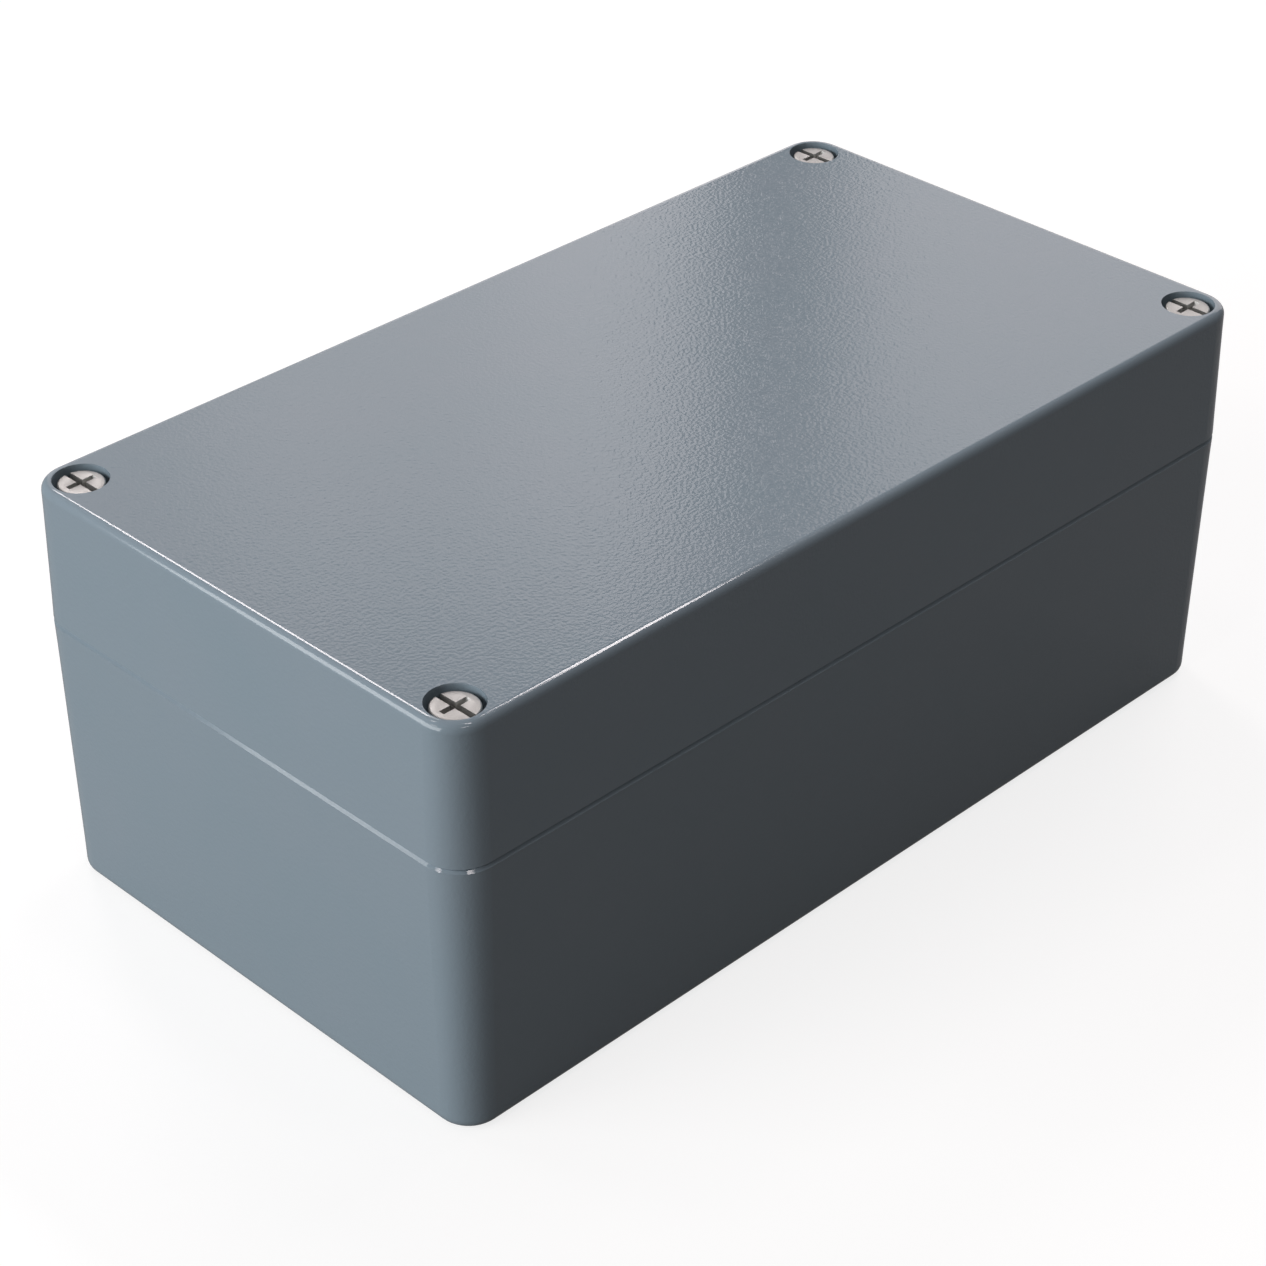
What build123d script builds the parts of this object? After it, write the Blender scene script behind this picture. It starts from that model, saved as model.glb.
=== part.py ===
from build123d import *
import math
import os

# Die-cast aluminium enclosure in millimetres: a drafted base and a deep lid that meet at a
# sealed parting face. X runs along the length, Y along the width, Z up from the underside.

# Case, measured at the parting face where it is widest
length = 220.0
width = 120.0
corner_radius = 8.0
base_height = 60.0
lid_height = 30.0
base_draft = 0.95
lid_draft = 1.0
top_edge_radius = 1.7
foot_edge_radius = 2.3
base_rim_chamfer = 0.6
lid_rim_chamfer = 0.5

# Walls and the hollow
base_wall = 4.6
floor_thickness = 5.0
roof_thickness = 4.0
inner_draft = 1.0
floor_edge_chamfer = 2.5
hollow_corner_radius = 5.0
block_corner_radius = 4.0

# Seal: a tongue round the base's opening presses into the gasket in the lid's groove
tongue_width = 2.0
tongue_height = 1.6
groove_side_clearance = 0.6
groove_depth = 4.0
lip_width = 1.8
gasket_side_clearance = 0.05

# Corner blocks, outside the seal: lid screw and wall fixing side by side
screw_inset = 8.0
fixing_inset = 19.0
fixing_hole_diameter = 6.5
fixing_channel_diameter = 11.0
fixing_ledge = 7.0
block_wall = 2.8

# Captive lid screws, metric 6 with a pitch of 1
thread_diameter = 6.0
thread_clearance = 0.05
threaded_hole_depth = 20.0
thread_length = 18.0
screw_reach = 14.6
waist_diameter = 4.6
head_diameter = 9.2
head_height = 3.8
head_sink = 0.8
counterbore_diameter = 11.0
seat_web = 3.4
web_hole_diameter = 6.4

# Driving recess of a screw head: a slot right across and a shorter tapered cross
slot_width = 1.25
slot_depth = 1.3
cross_span = 6.3
cross_floor_span = 2.6
cross_width = 1.1
cross_depth = 2.4

# Washer that keeps each lid screw in the lid
retainer_diameter = 9.6
retainer_thickness = 1.2
retainer_clearance = 0.05
retainer_mouth = 4.2

# Bosses on the floor for a mounting plate or rail
plate_inset_x = 26.0
plate_inset_y = 36.0
plate_boss_diameter = 10.0
plate_boss_height = 6.0
plate_thread_diameter = 4.0
plate_thread_depth = 9.0

# Protective earth terminal on a square boss near one end wall
earth_inset = 18.0
earth_boss_side = 11.0
earth_boss_height = 8.0
earth_boss_corner = 1.5
earth_thread_diameter = 6.0
earth_thread_depth = 10.0
earth_screw_length = 12.0
earth_head_diameter = 10.0
earth_head_height = 3.9
clamp_thickness = 1.2
clamp_length = 14.0
clamp_lip = 2.4
clamp_clearance = 0.3
clamp_hole_diameter = 6.4
spring_washer_diameter = 11.0
spring_washer_hole = 6.4
spring_washer_thickness = 1.6
spring_washer_slit = 0.8
spring_washer_slant = 20.0

# Places worked out from the sizes above
parting_z = base_height
top_z = base_height + lid_height
screw_x = length / 2 - screw_inset
screw_y = width / 2 - screw_inset
fixing_y = width / 2 - fixing_inset
block_x = screw_x - fixing_channel_diameter / 2 - block_wall
block_y = fixing_y - fixing_channel_diameter / 2 - block_wall
seat_z = top_z - head_sink - head_height
web_z = seat_z - seat_web
screw_tip_z = parting_z - screw_reach
thread_top_z = screw_tip_z + thread_length
thread_radius = thread_diameter / 2 - thread_clearance
screw_places = [(-screw_x, -screw_y), (screw_x, -screw_y), (screw_x, screw_y), (-screw_x, screw_y)]
fixing_places = [(x, math.copysign(fixing_y, y)) for x, y in screw_places]
plate_x = length / 2 - plate_inset_x
plate_y = width / 2 - plate_inset_y
earth_x = earth_inset - length / 2
earth_boss_top = floor_thickness + earth_boss_height

UPWARDS = (Align.CENTER, Align.CENTER, Align.MIN)


def post(radius, low, high):
    """Round post on the Z axis between two heights."""
    return Pos(0, 0, low) * Cylinder(radius, high - low, align=UPWARDS)


def turned(points):
    """Solid turned about the Z axis from a closed half profile of (radius, height) points."""
    outline = Polyline(*[(r, 0, z) for r, z in points], close=True)
    return revolve(make_face(outline), Axis.Z)


def corners_at(plan, x, y):
    """The plan's corners at plus and minus x, plus and minus y."""
    return [v for v in plan.vertices() if abs(abs(v.X) - x) < 0.01 and abs(abs(v.Y) - y) < 0.01]


def case_block(z_far, draft):
    """Outer form of a casting, from the parting face to its far end."""
    plan = Pos(0, 0, parting_z) * RectangleRounded(length, width, corner_radius)
    return drafted(plan, z_far, draft)


def hollow_plan(grow, z):
    """Plan of the base's opening between its corner blocks, grown by a distance."""
    half_x = length / 2 - base_wall + grow
    half_y = width / 2 - base_wall + grow
    notch_x = block_x + grow
    notch_y = block_y + grow
    plan = Rectangle(2 * half_x, 2 * notch_y) + Rectangle(2 * notch_x, 2 * half_y)
    plan = fillet(corners_at(plan, notch_x, notch_y), block_corner_radius - grow)
    outward = corners_at(plan, half_x, notch_y) + corners_at(plan, notch_x, half_y)
    plan = fillet(outward, hollow_corner_radius + grow)
    return Pos(0, 0, z) * plan


def drafted(plan, z_far, draft):
    """Solid that narrows from a plan towards another height."""
    rise = z_far - plan.face().center().Z
    return extrude(plan, abs(rise), dir=(0, 0, math.copysign(1, rise)), taper=draft)


def hollow(grow, z_closed):
    """Hollow that narrows away from the parting face."""
    return drafted(hollow_plan(grow, parting_z), z_closed, inner_draft)


def ring(outer_grow, inner_grow, low, high):
    """Band that follows the base's opening between two distances from its edge."""
    plan = hollow_plan(outer_grow, low) - hollow_plan(inner_grow, low)
    return extrude(plan, high - low, dir=(0, 0, 1))


def driving_recess(top_z_of_head, across):
    """Slot along Y right across a head, and a cross whose arms taper towards its floor."""
    above = slot_width
    slot = Pos(0, 0, top_z_of_head - slot_depth) * Box(
        slot_width, across + above, slot_depth + above, align=UPWARDS)
    floor_z = top_z_of_head - cross_depth
    slope = (cross_span - cross_floor_span) / 2 / cross_depth
    half_top = cross_span / 2 + slope * above
    side = Polyline(
        (-cross_floor_span / 2, 0, floor_z),
        (cross_floor_span / 2, 0, floor_z),
        (half_top, 0, top_z_of_head + above),
        (-half_top, 0, top_z_of_head + above),
        close=True,
    )
    arm = extrude(make_face(side), cross_width / 2, both=True)
    return slot + arm + Rot(0, 0, 90) * arm


def screw(seat, head_radius, height, shank_profile):
    """Cheese-headed screw with its head's seat at a height; the shank profile runs from tip to seat."""
    shank = turned([(0, shank_profile[0][1])] + shank_profile + [(0, seat)])
    head = post(head_radius, seat, seat + height)
    return shank + head - driving_recess(seat + height, 2 * head_radius)


def make_base():
    """Base casting: drafted tub, corner blocks, sealing tongue and floor bosses."""
    body = case_block(0, base_draft)
    body = fillet(body.edges().group_by(Axis.Z)[0], foot_edge_radius)
    body = chamfer(body.edges().group_by(Axis.Z)[-1], base_rim_chamfer)
    space = hollow(0, floor_thickness)
    floor_edges = space.edges().filter_by_position(
        Axis.Z, floor_thickness - 0.01, floor_thickness + 0.01)
    body -= chamfer(floor_edges, floor_edge_chamfer)
    body += ring(tongue_width, 0, parting_z, parting_z + tongue_height)
    boss_top = floor_thickness + plate_boss_height
    boss = post(plate_boss_diameter / 2, floor_thickness, boss_top)
    hole = post(plate_thread_diameter / 2, boss_top - plate_thread_depth, boss_top)
    for x in (-plate_x, plate_x):
        for y in (-plate_y, plate_y):
            body += Pos(x, y, 0) * boss
            body -= Pos(x, y, 0) * hole
    earth_boss = extrude(RectangleRounded(earth_boss_side, earth_boss_side, earth_boss_corner),
                         earth_boss_height)
    body += Pos(earth_x, 0, floor_thickness) * earth_boss
    body -= Pos(earth_x, 0, 0) * post(
        earth_thread_diameter / 2, earth_boss_top - earth_thread_depth, earth_boss_top)
    screw_hole = post(thread_diameter / 2, parting_z - threaded_hole_depth, parting_z)
    for x, y in screw_places:
        body -= Pos(x, y, 0) * screw_hole
    fixing = post(fixing_hole_diameter / 2, 0, fixing_ledge)
    fixing += post(fixing_channel_diameter / 2, fixing_ledge, parting_z)
    for x, y in fixing_places:
        body -= Pos(x, y, 0) * fixing
    return body


def make_lid():
    """Lid casting: drafted cap with the gasket groove, its lip and the screw columns."""
    body = case_block(top_z, lid_draft)
    body = fillet(body.edges().group_by(Axis.Z)[-1], top_edge_radius)
    body = chamfer(body.edges().group_by(Axis.Z)[0], lid_rim_chamfer)
    groove_outer = tongue_width + groove_side_clearance
    groove_inner = -groove_side_clearance
    body -= hollow(groove_inner - lip_width, top_z - roof_thickness)
    body -= ring(groove_outer, groove_inner, parting_z, parting_z + groove_depth)
    well = post(counterbore_diameter / 2, seat_z, top_z)
    well += post(web_hole_diameter / 2, web_z, seat_z)
    well += post(counterbore_diameter / 2, parting_z, web_z)
    for x, y in screw_places:
        body -= Pos(x, y, 0) * well
    return body


def make_gasket():
    """Gasket strip that fills the lid's groove above the base's tongue."""
    edge = groove_side_clearance - gasket_side_clearance
    return ring(tongue_width + edge, -edge, parting_z + tongue_height, parting_z + groove_depth)


def make_lid_screw():
    """Lid screw: threaded end, thinner waist and cheese head."""
    waist = waist_diameter / 2
    return screw(seat_z, head_diameter / 2, head_height, [
        (thread_radius, screw_tip_z),
        (thread_radius, thread_top_z),
        (waist, thread_top_z),
        (waist, seat_z),
    ])


def make_retainer():
    """Slit washer on a screw's waist that can't pass the lid's web."""
    inner = waist_diameter / 2 + retainer_clearance
    top = thread_top_z + retainer_thickness
    washer = post(retainer_diameter / 2, thread_top_z, top) - post(inner, thread_top_z, top)
    mouth = Pos(0, 0, thread_top_z) * Box(
        retainer_mouth, retainer_diameter, retainer_thickness,
        align=(Align.CENTER, Align.MIN, Align.MIN))
    return washer - mouth


def make_earth_clamp():
    """Saddle that holds the earth wire: a plate with two lips turned down over the boss."""
    inner = earth_boss_side + 2 * clamp_clearance
    outer = inner + 2 * clamp_thickness
    plate = Box(clamp_length, outer, clamp_thickness + clamp_lip, align=UPWARDS)
    plate = fillet(plate.edges().filter_by(Axis.X).group_by(Axis.Z)[-1], clamp_thickness)
    plate -= Box(clamp_length, inner, clamp_lip, align=UPWARDS)
    plate -= post(clamp_hole_diameter / 2, clamp_lip, clamp_lip + clamp_thickness)
    return Pos(0, 0, earth_boss_top - clamp_lip) * plate


def make_spring_washer():
    """Split spring washer, pressed flat, with a slanted slit."""
    low = earth_boss_top + clamp_thickness
    high = low + spring_washer_thickness
    washer = post(spring_washer_diameter / 2, low, high) - post(spring_washer_hole / 2, low, high)
    slit = Box(spring_washer_diameter, spring_washer_slit, 3 * spring_washer_thickness,
               align=(Align.MIN, Align.CENTER, Align.CENTER))
    return washer - Pos(0, 0, (low + high) / 2) * Rot(spring_washer_slant, 0, 0) * slit


def make_earth_screw():
    """Earth terminal screw."""
    seat = earth_boss_top + clamp_thickness + spring_washer_thickness
    radius = earth_thread_diameter / 2 - thread_clearance
    return screw(seat, earth_head_diameter / 2, earth_head_height, [
        (radius, seat - earth_screw_length),
        (radius, seat),
    ])


os.makedirs("parts", exist_ok=True)
pieces = {"base": make_base(), "lid": make_lid(), "gasket": make_gasket()}
lid_screw = make_lid_screw()
retainer = make_retainer()
for number, (x, y) in enumerate(screw_places, start=1):
    pieces[f"lid_screw_{number}"] = Pos(x, y, 0) * lid_screw
    pieces[f"screw_retainer_{number}"] = Pos(x, y, 0) * retainer
pieces["earth_clamp"] = Pos(earth_x, 0, 0) * make_earth_clamp()
pieces["earth_spring_washer"] = Pos(earth_x, 0, 0) * make_spring_washer()
pieces["earth_screw"] = Pos(earth_x, 0, 0) * make_earth_screw()

for name, piece in pieces.items():
    export_step(piece, f"parts/{name}.step")
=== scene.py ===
import math

import bpy
from mathutils import Matrix, Vector


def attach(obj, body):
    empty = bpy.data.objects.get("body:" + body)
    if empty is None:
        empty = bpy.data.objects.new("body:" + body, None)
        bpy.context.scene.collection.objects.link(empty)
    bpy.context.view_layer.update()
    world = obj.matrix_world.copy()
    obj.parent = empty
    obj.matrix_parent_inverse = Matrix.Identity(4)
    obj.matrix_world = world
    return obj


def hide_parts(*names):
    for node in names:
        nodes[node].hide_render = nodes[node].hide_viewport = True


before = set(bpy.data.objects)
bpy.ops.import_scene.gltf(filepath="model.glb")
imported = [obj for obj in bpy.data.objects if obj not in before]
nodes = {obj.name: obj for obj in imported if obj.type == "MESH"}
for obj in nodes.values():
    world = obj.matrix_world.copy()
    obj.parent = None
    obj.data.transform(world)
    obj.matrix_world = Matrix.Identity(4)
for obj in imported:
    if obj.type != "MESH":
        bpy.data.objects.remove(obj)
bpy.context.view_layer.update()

MM = 0.001


# Materials

def linear(hex_colour):
    """A colour from its sRGB hex value, as the shader takes it."""
    values = [int(hex_colour[i:i + 2], 16) / 255 for i in (1, 3, 5)]
    return tuple(v / 12.92 if v <= 0.04045 else ((v + 0.055) / 1.055) ** 2.4
                 for v in values) + (1.0,)


def add(tree, kind, sockets, **settings):
    """Adds a node; a socket takes either a value or another node's output."""
    node = tree.nodes.new("ShaderNode" + kind)
    for name, value in settings.items():
        setattr(node, name, value)
    for key, value in sockets.items():
        if isinstance(value, bpy.types.NodeSocket):
            tree.links.new(value, node.inputs[key])
        else:
            node.inputs[key].default_value = value
    return node


def new_material(name):
    """An empty node material and its tree."""
    material = bpy.data.materials.new(name)
    material.use_nodes = True
    material.node_tree.nodes.clear()
    return material, material.node_tree


def finish_material(material, shader):
    """Puts the shader on the material's output."""
    add(material.node_tree, "OutputMaterial", {"Surface": shader})
    return material


def machined_mask(tree, place):
    """1 where the casting was drilled, tapped or faced after it was coated, else 0: the screw
    holes at its corners, the plate bosses and the top of the earth boss."""
    x, y, z = add(tree, "SeparateXYZ", {0: place}).outputs

    def calc(operation, a, b=0.0):
        return add(tree, "Math", {0: a, 1: b}, operation=operation).outputs[0]

    def within(middle_x, middle_y, radius, low, high):
        off_x = calc("SUBTRACT", calc("ABSOLUTE", x), middle_x * MM)
        off_y = calc("SUBTRACT", calc("ABSOLUTE", y), middle_y * MM)
        distance = calc("SQRT", calc("ADD", calc("MULTIPLY", off_x, off_x),
                                     calc("MULTIPLY", off_y, off_y)))
        inside = calc("LESS_THAN", distance, radius * MM)
        inside = calc("MULTIPLY", inside, calc("GREATER_THAN", z, low * MM))
        return calc("MULTIPLY", inside, calc("LESS_THAN", z, high * MM))

    corner_holes = (102, 52, 3.1, 39, 59.9)
    boss_tops, boss_holes = (84, 24, 5.2, 10.9, 11.1), (84, 24, 2.1, 1.9, 11.1)
    earth_top, earth_hole = (92, 0, 8.0, 12.9, 13.1), (92, 0, 3.1, 2.9, 13.1)
    mask = within(*corner_holes)
    for spot in (boss_tops, boss_holes, earth_top, earth_hole):
        mask = calc("MAXIMUM", mask, within(*spot))
    return mask


def powder_coat():
    """Polyester powder coat on die-cast aluminium, sprayed and baked. It gives a glossy grey film
    with a leathery wrinkle just under 1 mm across that ruffles reflections on the flat faces,
    pulls smooth over the rounded edges and stops where holes and bosses were machined."""
    wrinkle_width, wrinkle_height = 0.75 * MM, 0.045 * MM
    cloud_width, mark_width = 25 * MM, 0.25 * MM
    material, tree = new_material("powder_coat_textured_grey")
    place = add(tree, "TexCoord", {}).outputs["Object"]
    wrinkle = add(tree, "TexNoise", {"Vector": place, "Scale": 1 / wrinkle_width, "Detail": 1.0,
                                     "Roughness": 0.5})
    facing = add(tree, "SeparateXYZ", {0: add(tree, "NewGeometry", {}).outputs["Normal"]})
    upright = add(tree, "Math", {0: facing.outputs["Z"]}, operation="ABSOLUTE")
    flat = add(tree, "MapRange", {"Value": upright.outputs[0], "From Min": 0.9985,
                                  "From Max": 0.9999})
    wall = add(tree, "MapRange", {"Value": upright.outputs[0], "From Min": 0.12,
                                  "From Max": 0.04})
    wavy = add(tree, "Math", {0: flat.outputs[0], 1: wall.outputs[0]}, operation="ADD")
    bump = add(tree, "Bump", {"Height": wrinkle.outputs["Fac"], "Distance": wrinkle_height,
                              "Strength": wavy.outputs[0]})
    cloud = add(tree, "TexNoise", {"Vector": place, "Scale": 1 / cloud_width, "Detail": 3.0})
    tint = add(tree, "Mix", {"Factor": cloud.outputs["Fac"], 6: linear("#8799A4"),
                             7: linear("#8D9BA6")}, data_type="RGBA")
    sheen = add(tree, "MapRange", {"Value": wrinkle.outputs["Fac"], "From Min": 0.3,
                                   "From Max": 0.7, "To Min": 0.07, "To Max": 0.11})
    film = add(tree, "BsdfPrincipled", {
        "Base Color": tint.outputs[2], "Roughness": sheen.outputs[0], "IOR": 1.5,
        "Normal": bump.outputs[0]})
    marks = add(tree, "TexNoise", {"Vector": place, "Scale": 1 / mark_width, "Detail": 2.0})
    satin = add(tree, "MapRange", {"Value": marks.outputs["Fac"], "From Min": 0.3, "From Max": 0.7,
                                   "To Min": 0.28, "To Max": 0.4})
    metal = add(tree, "BsdfPrincipled", {
        "Base Color": linear("#C9CBCC"), "Roughness": satin.outputs[0], "Metallic": 1.0})
    both = add(tree, "MixShader", {0: machined_mask(tree, place), 1: film.outputs[0],
                                   2: metal.outputs[0]})
    return finish_material(material, both.outputs[0])


def grained(name, colours, grain, roughness, depth, metallic=0.0):
    """A finish with a fine even grain: two close colours, a range of roughness and a bump, all
    from one noise whose grains are so many millimetres across."""
    material, tree = new_material(name)
    place = add(tree, "TexCoord", {}).outputs["Object"]
    noise = add(tree, "TexNoise", {"Vector": place, "Scale": 1 / (grain * MM), "Detail": 3.0,
                                   "Roughness": 0.55}).outputs["Fac"]
    even = add(tree, "MapRange", {"Value": noise, "From Min": 0.3, "From Max": 0.7}).outputs[0]
    tint = add(tree, "Mix", {"Factor": even, 6: linear(colours[0]), 7: linear(colours[1])},
               data_type="RGBA")
    dull = add(tree, "MapRange", {"Value": noise, "From Min": 0.3, "From Max": 0.7,
                                  "To Min": roughness[0], "To Max": roughness[1]})
    bump = add(tree, "Bump", {"Height": noise, "Distance": depth * MM})
    shader = add(tree, "BsdfPrincipled", {
        "Base Color": tint.outputs[2], "Roughness": dull.outputs[0], "Metallic": metallic,
        "Normal": bump.outputs[0]})
    return finish_material(material, shader.outputs[0])


def wear(obj, material):
    """Gives an object one material in place of those it has."""
    obj.data.materials.clear()
    obj.data.materials.append(material)


# Mesh helpers

def edit(piece):
    """Opens one piece in edit mode, with nothing else selected."""
    bpy.ops.object.select_all(action="DESELECT")
    bpy.context.view_layer.objects.active = piece
    piece.select_set(True)
    bpy.ops.object.mode_set(mode="EDIT")


def settle(piece):
    """Leaves edit mode with the mesh merged, its faces outwards and its place in the mesh."""
    bpy.ops.mesh.select_all(action="SELECT")
    bpy.ops.mesh.remove_doubles(threshold=0.002 * MM)
    bpy.ops.mesh.normals_make_consistent(inside=False)
    bpy.ops.object.mode_set(mode="OBJECT")
    bpy.ops.object.transform_apply(location=True, rotation=True, scale=True)
    return piece


def added(name):
    """The primitive just added, by itself and in edit mode."""
    piece = bpy.context.object
    piece.name = name
    edit(piece)
    bpy.ops.mesh.select_all(action="SELECT")
    return piece


def turned(name, rings, steps=64):
    """Solid turned about the Z axis: a disc that is extruded and resized from ring to ring."""
    radius, z = rings[0]
    bpy.ops.mesh.primitive_circle_add(vertices=steps, radius=radius * MM, fill_type="NGON",
                                      location=(0, 0, z * MM))
    piece = added(name)
    for next_radius, next_z in rings[1:]:
        bpy.ops.mesh.extrude_region_move(
            TRANSFORM_OT_translate={"value": (0, 0, (next_z - z) * MM)})
        scale = next_radius / radius
        bpy.ops.transform.resize(value=(scale, scale, 1), center_override=(0, 0, next_z * MM))
        radius, z = next_radius, next_z
    return settle(piece)


def block(name, low, high, floor_share=1.0):
    """Box between two corners, its bottom face drawn in along X by a share."""
    size = [(b - a) * MM for a, b in zip(low, high)]
    middle = [(a + b) / 2 * MM for a, b in zip(low, high)]
    bpy.ops.mesh.primitive_cube_add(size=1, location=middle, scale=size)
    piece = added(name)
    if floor_share != 1.0:
        bpy.ops.mesh.select_all(action="DESELECT")
        bpy.ops.object.mode_set(mode="OBJECT")
        for face in piece.data.polygons:
            face.select = face.normal.z < -0.9
        bpy.ops.object.mode_set(mode="EDIT")
        bpy.ops.transform.resize(value=(floor_share, 1, 1), center_override=middle)
    return settle(piece)


def apply_modifier(piece, kind, **settings):
    """Finishes a piece with one modifier, applied."""
    modifier = piece.modifiers.new(kind, kind)
    for name, value in settings.items():
        setattr(modifier, name, value)
    bpy.ops.object.select_all(action="DESELECT")
    bpy.context.view_layer.objects.active = piece
    piece.select_set(True)
    bpy.ops.object.modifier_apply(modifier=modifier.name)
    return piece


def combine(piece, other, operation):
    """Joins, cuts or keeps what two solids share, and deletes the second."""
    apply_modifier(piece, "BOOLEAN", operation=operation, object=other, solver="EXACT")
    bpy.data.objects.remove(other)
    return piece


def thread(name, inner, outer, pitch, low, high, crest_share, root_share):
    """Solid rod with a right-handed thread, cut off level at two heights; crest and root flats
    are shares of the pitch. It starts on the X axis at a whole number of pitches from zero
    height. A height that no vertex lies on keeps its end closed."""
    steps = 32
    start = (math.floor(low / pitch) - 1) * pitch
    flank = (1 - crest_share - root_share) / 2 * pitch
    crest, root = crest_share * pitch, root_share * pitch
    points = [(inner, 0, start), (inner, 0, start + root), (outer, 0, start + root + flank),
              (outer, 0, start + root + flank + crest), (inner, 0, start + pitch)]
    points = [Vector(point) * MM for point in points]
    bpy.ops.mesh.primitive_plane_add(size=MM, location=points[0])
    piece = added(name)
    bpy.ops.mesh.merge(type="CENTER")
    for a, b in zip(points, points[1:]):
        bpy.ops.mesh.extrude_region_move(TRANSFORM_OT_translate={"value": b - a})
    settle(piece)
    turns = math.ceil((high - start) / pitch) + 1
    apply_modifier(piece, "SCREW", axis="Z", angle=math.tau, screw_offset=pitch * MM,
                   iterations=turns, steps=steps, render_steps=steps,
                   use_merge_vertices=True, merge_threshold=0.002 * MM)
    # The turns are welded before the cuts, and each cut's outline is closed by one face
    edit(piece)
    settle(piece)
    edit(piece)
    for height, keep_above in ((low, True), (high, False)):
        bpy.ops.mesh.select_all(action="SELECT")
        bpy.ops.mesh.bisect(plane_co=(0, 0, height * MM), plane_no=(0, 0, 1),
                            clear_inner=keep_above, clear_outer=not keep_above)
        bpy.ops.mesh.edge_face_add()
    return settle(piece)


def copy_at(piece, name, x, y):
    """Copy of a piece, with its own mesh, moved across the floor."""
    twin = piece.copy()
    twin.data = piece.data.copy()
    twin.name = name
    twin.data.transform(Matrix.Translation((x * MM, y * MM, 0)))
    bpy.context.scene.collection.objects.link(twin)
    return twin


def smooth(piece, degrees=35):
    """Shades a piece smooth, except at edges sharper than an angle."""
    bpy.ops.object.select_all(action="DESELECT")
    bpy.context.view_layer.objects.active = piece
    piece.select_set(True)
    bpy.ops.object.shade_smooth_by_angle(angle=math.radians(degrees))
    return piece


coat = powder_coat()
# Stainless steel, cold-headed, tumbled and passivated: an even grey satin with a faint grain
steel = grained("stainless_steel_cold_formed", ("#A8A8A6", "#B4B4B2"), 0.35, (0.42, 0.54), 0.003, 1.0)
# Stainless strip, pressed to shape: brighter and smoother than the screws, with rolling haze
strip_steel = grained("stainless_steel_pressed", ("#C3C0BC", "#D0CDC9"), 0.8, (0.24, 0.34), 0.002, 1.0)
# Aluminium cut by a tap: bright, with fine tearing along the flanks
bare_aluminium = grained("aluminium_tapped", ("#BFC1C2", "#CDCFD0"), 0.2, (0.28, 0.4), 0.004, 1.0)
# Closed-cell rubber, moulded: black skin, matt, with pinhead cells about 0.4 mm across
rubber = grained("cellular_rubber_moulded", ("#161617", "#222223"), 0.4, (0.78, 0.92), 0.05)
# Natural nylon, moulded: ivory, with a soft sheen and slight flow marks
nylon = grained("nylon_moulded", ("#DDD6C2", "#E7E1CF"), 3.0, (0.38, 0.5), 0.02)
for name, node in nodes.items():
    if name in ("base", "lid"):
        wear(node, coat)
    elif name == "gasket":
        wear(node, rubber)
    elif name.startswith("screw_retainer"):
        wear(node, nylon)
    elif name in ("earth_clamp", "earth_spring_washer"):
        wear(node, strip_steel)
    else:
        wear(node, steel)


# Screws

SCREW_PLACES = [(-102, -52), (102, -52), (102, 52), (-102, 52)]
WAIST_RADIUS = 2.3


def cross_arm(top, along_y):
    """Cutter for one arm of the cross, which tapers towards its floor."""
    reach, floor_reach, half_width, depth = 3.73, 1.93, 0.62, 2.4
    arm = block("arm", (-reach, -half_width, top - depth), (reach, half_width, top + 1.2),
                floor_reach / reach)
    if along_y:
        edit(arm)
        bpy.ops.transform.rotate(value=math.pi / 2, orient_axis="Z",
                                 center_override=(0, 0, top * MM))
        settle(arm)
    return arm


def cheese_head_screw(name, seat, head_radius, head_height, tip, thread_top):
    """Metric 6 screw with rolled threads, a slot across its head and a tapered cross."""
    top = seat + head_height
    rings = [(WAIST_RADIUS, thread_top - 0.5), (WAIST_RADIUS, seat - 0.3),
             (WAIST_RADIUS + 0.3, seat), (head_radius - 0.15, seat), (head_radius, seat + 0.15),
             (head_radius, top - 0.45), (head_radius - 0.06, top - 0.22),
             (head_radius - 0.22, top - 0.06), (head_radius - 0.45, top)]
    piece = turned(name, rings, 96)
    slot_half, slot_depth = 0.66, 1.3
    slot = block("slot", (-slot_half, -head_radius - 1, top - slot_depth),
                 (slot_half, head_radius + 1, top + 1.2))
    combine(piece, slot, "DIFFERENCE")
    combine(piece, cross_arm(top, False), "DIFFERENCE")
    combine(piece, cross_arm(top, True), "DIFFERENCE")
    # The thread is longer than its blank, and the blank's upper cone crosses the waist, so that
    # no two faces nearly coincide where the solids are joined
    shank = thread(name + "_thread", 2.39, 2.95, 1.0, tip - 0.4, thread_top + 0.6, 0.125, 0.25)
    blank = turned("blank", [(2.1, tip), (3.2, tip + 1.1), (3.2, thread_top - 0.5),
                             (2.0, thread_top + 0.2)])
    combine(shank, blank, "INTERSECT")
    combine(piece, shank, "UNION")
    apply_modifier(piece, "BEVEL", width=0.05 * MM, segments=2, limit_method="ANGLE",
                   angle_limit=math.radians(55), use_clamp_overlap=True)
    edit(piece)
    settle(piece)
    wear(piece, steel)
    return smooth(piece)


pattern = cheese_head_screw("lid_screw", 85.4, 4.6, 3.8, 45.4, 63.4)
for number, (x, y) in enumerate(SCREW_PLACES, start=1):
    screw = copy_at(pattern, f"captive_screw_{number}", x, y)
    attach(screw, f"screw_{number}")
    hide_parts(f"lid_screw_{number}")
bpy.data.objects.remove(pattern)

earth_screw = cheese_head_screw("earth_terminal_screw", 15.8, 5.0, 3.9, 3.8, 15.3)
earth_screw.data.transform(Matrix.Translation((-92 * MM, 0, 0)))
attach(earth_screw, "base")
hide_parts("earth_screw")


# Threads cut in the casting's holes

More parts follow.
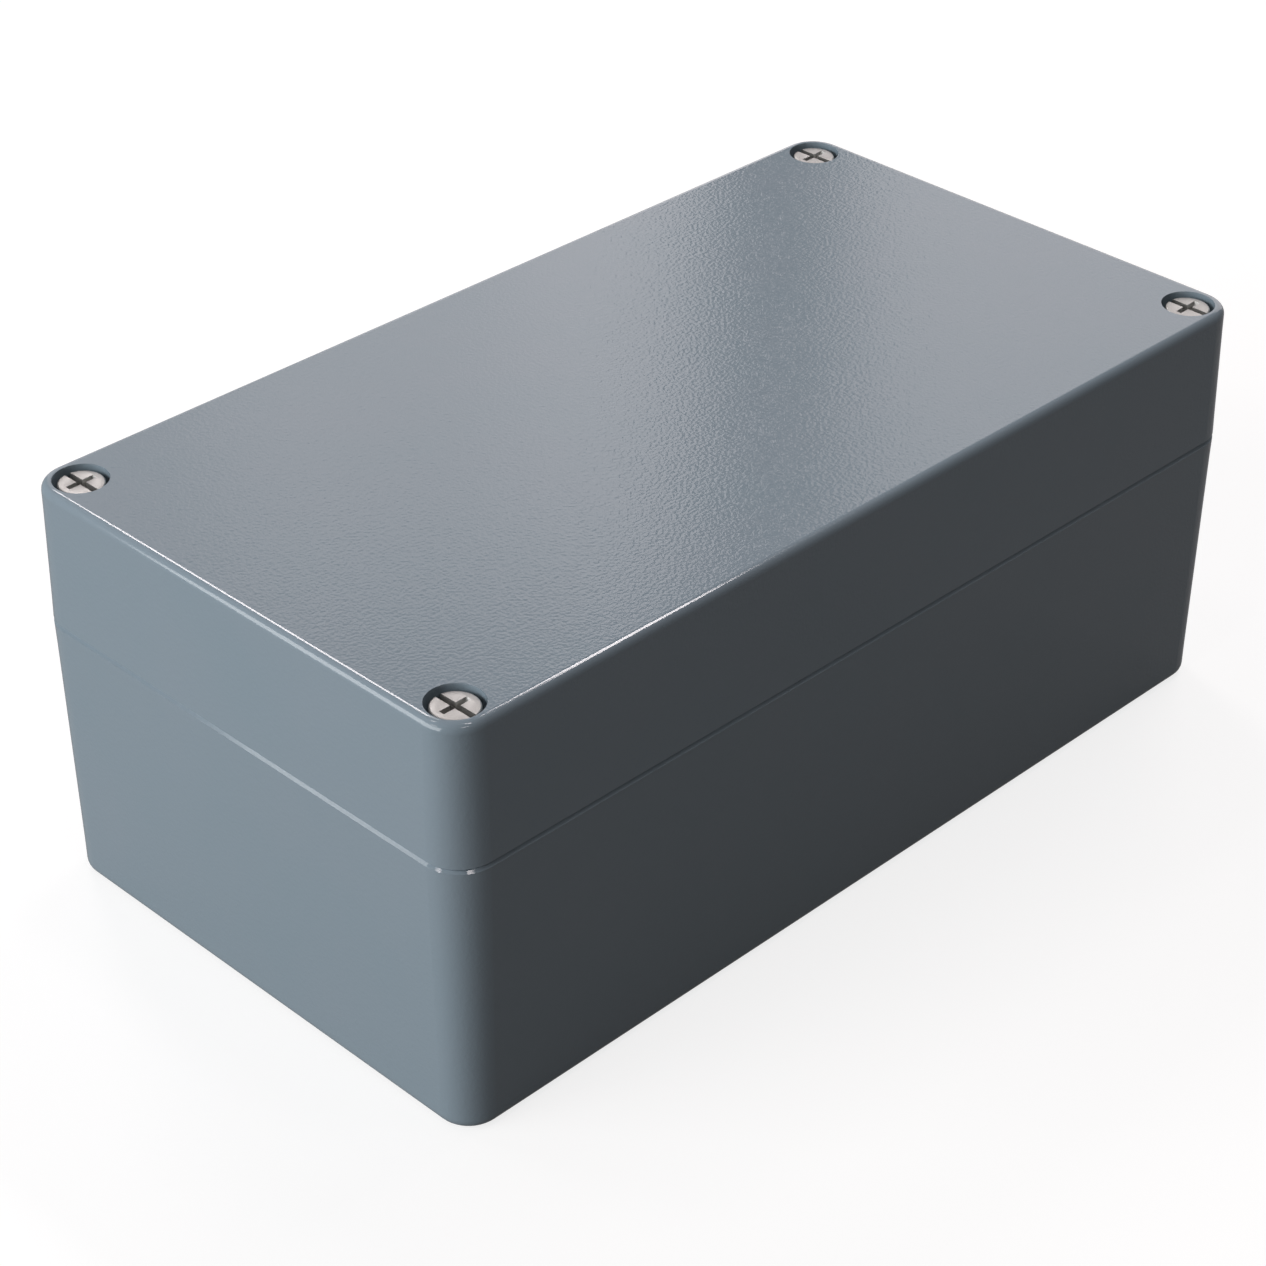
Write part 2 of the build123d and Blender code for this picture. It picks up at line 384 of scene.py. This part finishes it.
def hole_thread(name, mouth, depth, radius, pitch):
    """Ridges of a tapped hole, from its mouth down to a few turns above its floor. Open fault:
    thread() closes both ends, as the screws need, so this is a rod that plugs the hole 0.255 mm
    below its mouth, where an open sleeve facing the bore belongs."""
    ridge_depth = 0.54 * pitch
    ridges = thread(name, radius + 0.03, radius - ridge_depth + 0.06, pitch,
                    mouth - depth + 0.6, mouth - 0.255, 0.2, 0.2)
    wear(ridges, bare_aluminium)
    return smooth(ridges, 25)


def add_hole_threads(name, pattern, places):
    """Puts a copy of the ridges into each hole."""
    for number, (x, y) in enumerate(places, start=1):
        ridges = copy_at(pattern, f"{name}_{number}", x, y)
        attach(ridges, "base")
    bpy.data.objects.remove(pattern)


add_hole_threads("corner_hole_thread", hole_thread("pattern", 60, 20, 3.0, 1.0), SCREW_PLACES)
add_hole_threads("boss_hole_thread", hole_thread("pattern", 11, 9, 2.0, 0.7),
                 [(-84, -24), (84, -24), (84, 24), (-84, 24)])


# Gasket

def opening_path(grow):
    """Points round the base's opening, between its corner blocks, at a distance outside its edge."""
    far_x, far_y, near_x, near_y = (size + grow for size in (105.4, 55.4, 93.7, 32.7))
    outer, inner = 5 + grow, 4 - grow
    corners = [(far_x, near_y, outer), (near_x, near_y, inner), (near_x, far_y, outer)]
    points = []
    for sign_x, sign_y in ((1, 1), (-1, 1), (-1, -1), (1, -1)):
        quarter = corners if sign_x == sign_y else corners[::-1]
        for x, y, radius in quarter:
            outward = radius == outer
            centre = (x - radius if outward else x + radius, y - radius if outward else y + radius)
            start, end = (0, 90) if outward else (270, 180)
            if sign_x != sign_y:
                start, end = end, start
            for step in range(9):
                a = math.radians(start + (end - start) * step / 8)
                points.append((sign_x * (centre[0] + radius * math.cos(a)),
                               sign_y * (centre[1] + radius * math.sin(a))))
    return points


def foam_strip():
    """Soft strip with rounded edges and the dent that the tongue has pressed into it."""
    height, floor = 2.4, 61.6
    outline = [(-1.55, 0.35), (-1.45, 0.1), (-1.2, 0), (-1.08, 0), (-1.0, 0.06), (-0.9, 0.26),
               (-0.8, 0.3), (0.8, 0.3), (0.9, 0.26), (1.0, 0.06), (1.08, 0), (1.2, 0), (1.45, 0.1),
               (1.55, 0.35), (1.55, height - 0.3), (1.4, height), (-1.4, height),
               (-1.55, height - 0.3)]
    section_data = bpy.data.curves.new("section", "CURVE")
    section_line = section_data.splines.new("POLY")
    section_line.points.add(len(outline) - 1)
    for point, (across, up) in zip(section_line.points, outline):
        point.co = (across * MM, up * MM, 0, 1)
    section_line.use_cyclic_u = True
    section = bpy.data.objects.new("section", section_data)
    data = bpy.data.curves.new("gasket_strip", "CURVE")
    data.dimensions = "3D"
    data.twist_mode = "Z_UP"
    data.bevel_mode = "OBJECT"
    data.bevel_object = section
    line = data.splines.new("POLY")
    path = opening_path(1.0)
    line.points.add(len(path) - 1)
    for point, (x, y) in zip(line.points, path):
        point.co = (x * MM, y * MM, floor * MM, 1)
    line.use_cyclic_u = True
    strip = bpy.data.objects.new("gasket_strip", data)
    bpy.context.scene.collection.objects.link(strip)
    bpy.context.scene.collection.objects.link(section)
    bpy.ops.object.select_all(action="DESELECT")
    bpy.context.view_layer.objects.active = strip
    strip.select_set(True)
    bpy.ops.object.convert(target="MESH")
    bpy.data.objects.remove(section)
    strip = bpy.context.object
    edit(strip)
    settle(strip)
    wear(strip, rubber)
    return smooth(strip, 40)


gasket = foam_strip()
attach(gasket, "lid")
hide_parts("gasket")


# Studio

def softbox(name, place, facing, width, height, power, colour="#FFFFFF"):
    """Rectangular area light at a place, turned to face a point."""
    data = bpy.data.lights.new(name, "AREA")
    data.shape = "RECTANGLE"
    data.size = width
    data.size_y = height
    data.energy = power
    data.color = linear(colour)[:3]
    lamp = bpy.data.objects.new(name, data)
    lamp.location = place
    lamp.rotation_euler = (Vector(place) - Vector(facing)).to_track_quat("Z", "Y").to_euler()
    lamp.visible_camera = False
    bpy.context.scene.collection.objects.link(lamp)
    return lamp


def round_the_case(azimuth, elevation, distance):
    """A place seen from the case. Azimuth runs from +X towards +Y, in degrees."""
    a, e = math.radians(azimuth), math.radians(elevation)
    return (distance * math.cos(a) * math.cos(e), distance * math.sin(a) * math.cos(e),
            0.06 + distance * math.sin(e))


def behind_the_case(azimuth, distance, z):
    """A place on an azimuth from the camera's foot, where the lid mirrors it upright."""
    a = math.radians(azimuth)
    return (-0.38954 + distance * math.cos(a), -0.38171 + distance * math.sin(a), z)


CASE = (0, 0, 0.06)
WARM = "#FFF6F6"
# Radiance of a softbox, measured here, as a multiple of its power over pi times its area
SOFTBOX_GAIN = 1.15
# How much of the white background gloss mirrors; 1 would be all of it
MIRRORED_SHARE = 0.2


def ceiling_panel(name, x_range, y_range, radiance):
    """Level softbox 1.4 m above the lid. Its edges are given as shares of that height, as the
    rounded edges of the lid mirror them."""
    rise = 1.4
    width, depth = ((high - low) * rise for low, high in (x_range, y_range))
    place = (sum(x_range) / 2 * rise, sum(y_range) / 2 * rise, 0.09 + rise)
    power = radiance * math.pi * width * depth / SOFTBOX_GAIN
    return softbox(name, place, (place[0], place[1], 0), width, depth, power, WARM)


def window(name, azimuth_from, azimuth_to, radiance):
    """Upright softbox 2.1 m from the camera's foot, between two azimuths seen from there."""
    distance, low, high = 2.1, 0.05, 1.2
    middle = (azimuth_from + azimuth_to) / 2
    width = 2 * distance * math.tan(math.radians(azimuth_to - azimuth_from) / 2)
    power = radiance * math.pi * width * (high - low) / SOFTBOX_GAIN
    return softbox(name, behind_the_case(middle, distance, (low + high) / 2),
                   behind_the_case(middle, 0, (low + high) / 2), width, high - low, power, WARM)


ceiling_panel("far_left", (0.24, 0.58), (0.82, 1.22), 14)
ceiling_panel("far_right", (0.63, 0.755), (-0.16, 0.42), 18)
ceiling_panel("near_left", (-0.30, -0.14), (0.41, 0.55), 12)
ceiling_panel("near_right", (0.08, 0.20), (-0.42, -0.06), 8)
ceiling_panel("low_left", (-1.20, -1.06), (0.10, 0.50), 10)
ceiling_panel("low_right", (-0.42, -0.06), (-0.93, -0.78), 10)
softbox("left_wall", round_the_case(164, 15, 1.4), CASE, 1.42, 0.85, 17.7)
softbox("underside", (0, 0, -1.2), CASE, 1.2, 1.2, 14.0)
# The gap between the last two windows is the dark band that the lid mirrors
window("window_far_left", 54, 68, 0.9)
window("window_left", 47.6, 54, 1.4)
window("window_middle", 43.5, 47.6, 1.75)
window("window_right", 12, 40.8, 1.55)


def sees_background(tree):
    """How far a ray sees the white background. Mirrored in full, it would make the shaded wall
    of the glossy coat twice as light, so glossy rays see a share of it."""
    ray = add(tree, "LightPath", {})
    direct = add(tree, "Math", {0: ray.outputs["Is Camera Ray"],
                                1: ray.outputs["Is Transmission Ray"]}, operation="ADD")
    return add(tree, "Math", {0: ray.outputs["Is Glossy Ray"], 1: MIRRORED_SHARE,
                              2: direct.outputs[0]},
               operation="MULTIPLY_ADD", use_clamp=True).outputs[0]


world = bpy.data.worlds.new("room")
bpy.context.scene.world = world
world.use_nodes = True
tree = world.node_tree
tree.nodes.clear()
dim = add(tree, "Background", {"Color": linear("#FFFFFF"), "Strength": 0.02})
white = add(tree, "Background", {"Color": linear("#FFFFFF"), "Strength": 1.0})
seen = add(tree, "MixShader", {0: sees_background(tree), 1: dim.outputs[0],
                               2: white.outputs[0]})
add(tree, "OutputWorld", {"Surface": seen.outputs[0]})


def pale_floor():
    """Matt backdrop paper: near white to the camera, with the case's soft shadow on it, and mid
    grey to the light that it throws back on the case."""
    material, tree = new_material("paper_backdrop_matt")
    dim = add(tree, "BsdfDiffuse", {"Color": linear("#6A6A6A")})
    lit = add(tree, "BsdfDiffuse", {"Color": linear("#959595")})
    glow = add(tree, "Emission", {"Strength": 0.79})
    pale = add(tree, "AddShader", {0: lit.outputs[0], 1: glow.outputs[0]})
    seen = add(tree, "MixShader", {0: sees_background(tree), 1: dim.outputs[0],
                                   2: pale.outputs[0]})
    return finish_material(material, seen.outputs[0])


def floor_with_opening():
    """Sheet of paper with an opening under the case, inside its foot, so that the underside
    shows from below. It lies 0.05 mm down, clear of the foot."""
    bpy.ops.object.select_all(action="DESELECT")
    half_length, half_width = 105.6, 55.6
    bpy.ops.mesh.primitive_plane_add(size=12.0, location=(0, 0, -0.05 * MM))
    sheet = added("floor")
    for place, across in ((half_length, (1, 0, 0)), (-half_length, (1, 0, 0)),
                          (half_width, (0, 1, 0)), (-half_width, (0, 1, 0))):
        bpy.ops.mesh.select_all(action="SELECT")
        bpy.ops.mesh.bisect(plane_co=[place * MM * share for share in across], plane_no=across)
    bpy.ops.mesh.select_all(action="DESELECT")
    bpy.ops.object.mode_set(mode="OBJECT")
    for face in sheet.data.polygons:
        face.select = face.center.length < 10 * MM
    bpy.ops.object.mode_set(mode="EDIT")
    bpy.ops.mesh.delete(type="FACE")
    return settle(sheet)


floor = floor_with_opening()
wear(floor, pale_floor())

camera_data = bpy.data.cameras.new("camera")
camera_data.lens = 89.81
camera_data.sensor_width = 36.0
camera_data.clip_start = 0.01
camera_data.clip_end = 50.0
camera = bpy.data.objects.new("camera", camera_data)
bpy.context.scene.collection.objects.link(camera)
camera.location = (-0.38954, -0.38171, 0.39106)
aim = camera.location - Vector((-0.00806, -0.00034, 0.03597))
camera.rotation_euler = aim.to_track_quat("Z", "Y").to_euler()
bpy.context.scene.camera = camera

bpy.context.scene.view_settings.view_transform = "Standard"
